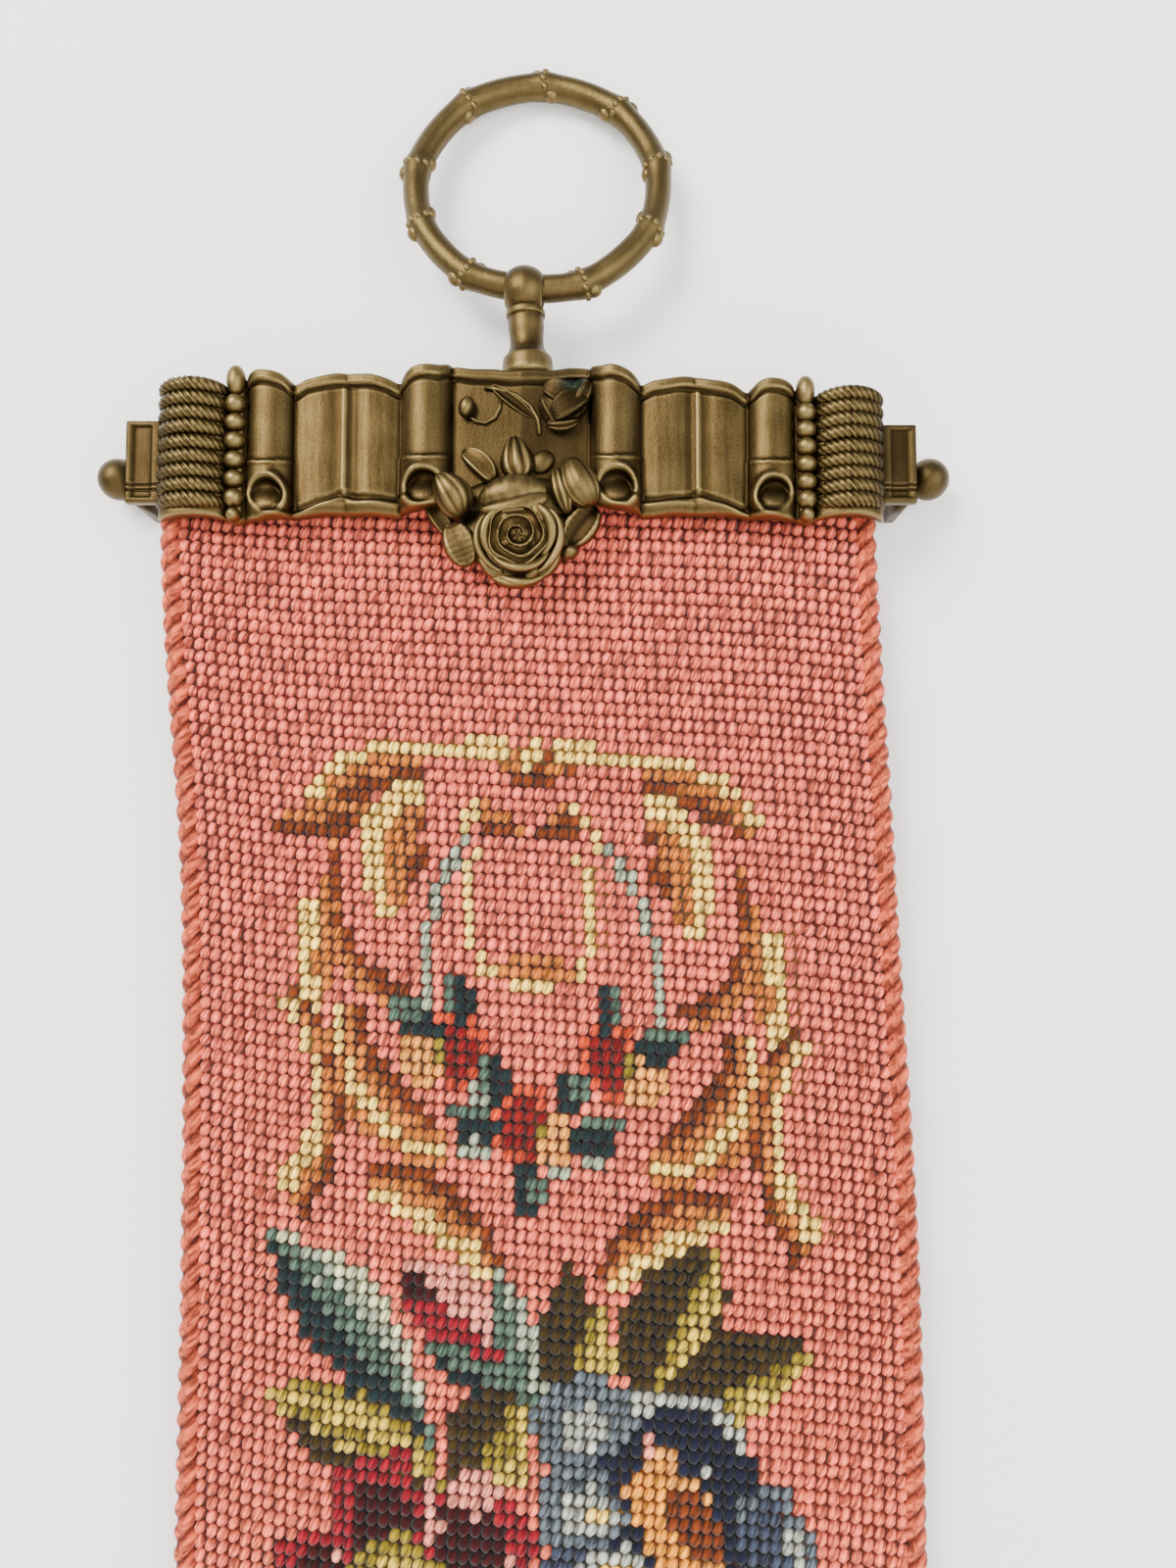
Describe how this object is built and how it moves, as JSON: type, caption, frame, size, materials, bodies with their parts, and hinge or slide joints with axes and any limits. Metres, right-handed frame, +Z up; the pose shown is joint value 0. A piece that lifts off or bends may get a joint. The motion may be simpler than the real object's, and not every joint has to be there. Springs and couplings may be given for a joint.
{
  "type": "needlepoint bell pull with brass hanger, rod and ring",
  "caption": "Long narrow tent-stitch wool panel with corded edges, hung by a sleeve on a rod inside a cast brass header with scrolls and a rose, with a knotty hanging ring",
  "frame": {"origin": "the hanging point, at the inside top of the ring", "axes": "+Z is up along the panel's length, +X is to the viewer's right, and the stitched front faces -Y, so +Y points into the wall"},
  "size_m": [0.2026, 0.0263, 0.9821],
  "materials": {
    "cast_brass": "antique cast brass, dark in the recesses, rubbed bright on raised parts",
    "turned_brass": "aged turned brass",
    "needlepoint_wool": "matte wool tent stitch",
    "cord_wool": "matte twisted wool cord"
  },
  "bodies": {
    "root": {"hanging_ring": "cast_brass", "ball_stem": "turned_brass", "header_casting": "cast_brass", "hanger_rod": "turned_brass", "left_knob": "turned_brass", "right_knob": "turned_brass", "needlepoint_panel": "needlepoint_wool", "left_edge_cord": "cord_wool", "right_edge_cord": "cord_wool"}
  },
  "joints": []
}
